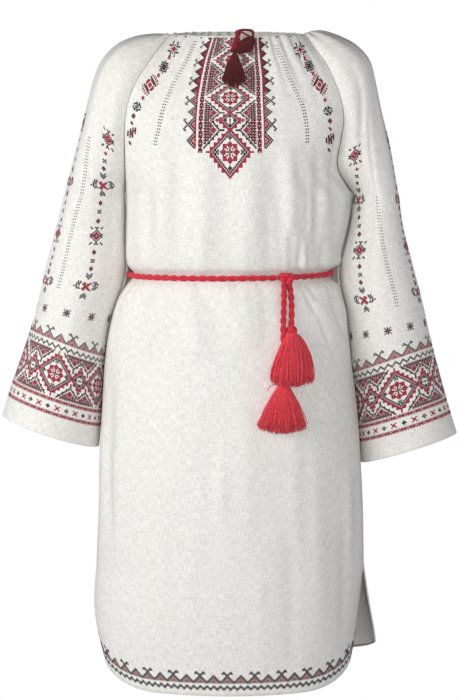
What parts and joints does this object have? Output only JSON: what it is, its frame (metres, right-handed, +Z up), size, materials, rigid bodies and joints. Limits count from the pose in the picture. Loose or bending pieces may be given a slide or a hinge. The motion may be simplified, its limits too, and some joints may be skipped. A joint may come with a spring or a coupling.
{
  "type": "vyshyvanka dress with its cord belt",
  "caption": "Knee-length linen raglan dress with a gathered neck, bell sleeves, cross-stitched yoke, cuffs and hem, and a twisted red cord belt with tassels, as worn.",
  "frame": {"origin": "middle of the neck opening at the height of the wearer's shoulders, where the dress is held", "axes": "+Z up from the hem to the neck, -Y out of the front, +X towards the wearer's left"},
  "size_m": [0.6875, 0.281, 0.9641],
  "materials": {
    "linen": "plain-woven natural linen",
    "waist_cord": "twisted red cord and its cut threads",
    "neck_cord": "fine dark red cord and its cut threads"
  },
  "bodies": {
    "root": {"front_panel": "linen", "back_panel": "linen", "sleeve_right": "linen", "sleeve_left": "linen", "waist_cord": "waist_cord", "waist_knot": "waist_cord", "waist_end_short": "waist_cord", "waist_end_long": "waist_cord", "waist_ball_knot": "waist_cord", "waist_tassel_upper": "waist_cord", "waist_tassel_lower": "waist_cord", "neck_drawstring": "neck_cord", "neck_knot": "neck_cord", "neck_end_upper": "neck_cord", "neck_end_lower": "neck_cord", "neck_tassel_upper": "neck_cord", "neck_tassel_lower": "neck_cord"}
  },
  "joints": []
}
